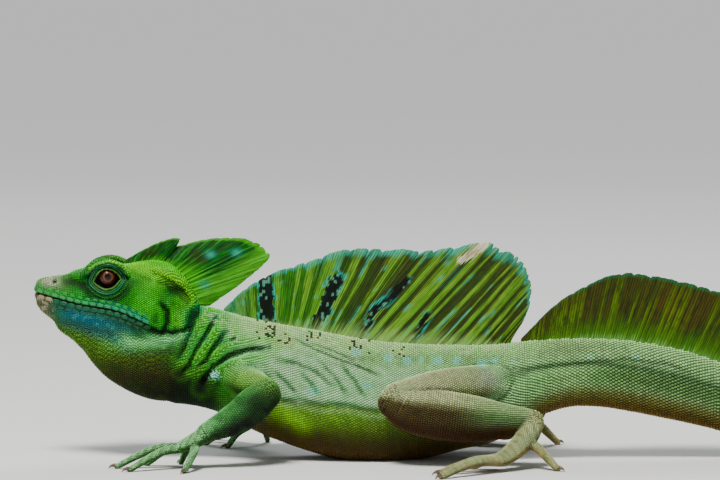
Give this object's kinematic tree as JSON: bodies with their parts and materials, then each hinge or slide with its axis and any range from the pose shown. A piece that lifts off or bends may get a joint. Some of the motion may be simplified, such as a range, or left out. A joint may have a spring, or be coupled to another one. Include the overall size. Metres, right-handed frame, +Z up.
{
  "type": "green basilisk",
  "caption": "Life-size green basilisk, a crested lizard resting on its belly with its head raised and its long tail laid along the floor.",
  "frame": {"origin": "on the floor, under the middle of the part's box", "axes": "+X runs back along the tail, +Z is up, and the head looks towards -X"},
  "size_m": [0.718, 0.1402, 0.0954],
  "materials": {
    "skin": "scaly, satin",
    "crest": "ribbed, satin",
    "eye": "wet gloss"
  },
  "bodies": {
    "root": {"head": "skin", "lower_jaw": "skin", "eye_left": "eye", "ear_drum_left": "skin", "eye_right": "eye", "ear_drum_right": "skin", "throat": "skin", "neck": "skin", "chest": "skin", "belly": "skin", "hips": "skin", "tail_base": "skin", "tail_second": "skin", "tail_third": "skin", "tail_fourth": "skin", "tail_tip": "skin", "head_crest_front": "crest", "head_crest_rear": "crest", "dorsal_crest": "crest", "tail_crest": "crest", "upper_arm_left": "skin", "forearm_left": "skin", "hand_left": "skin", "thigh_left": "skin", "shin_left": "skin", "foot_left": "skin", "upper_arm_right": "skin", "forearm_right": "skin", "hand_right": "skin", "thigh_right": "skin", "shin_right": "skin", "foot_right": "skin"}
  },
  "joints": []
}
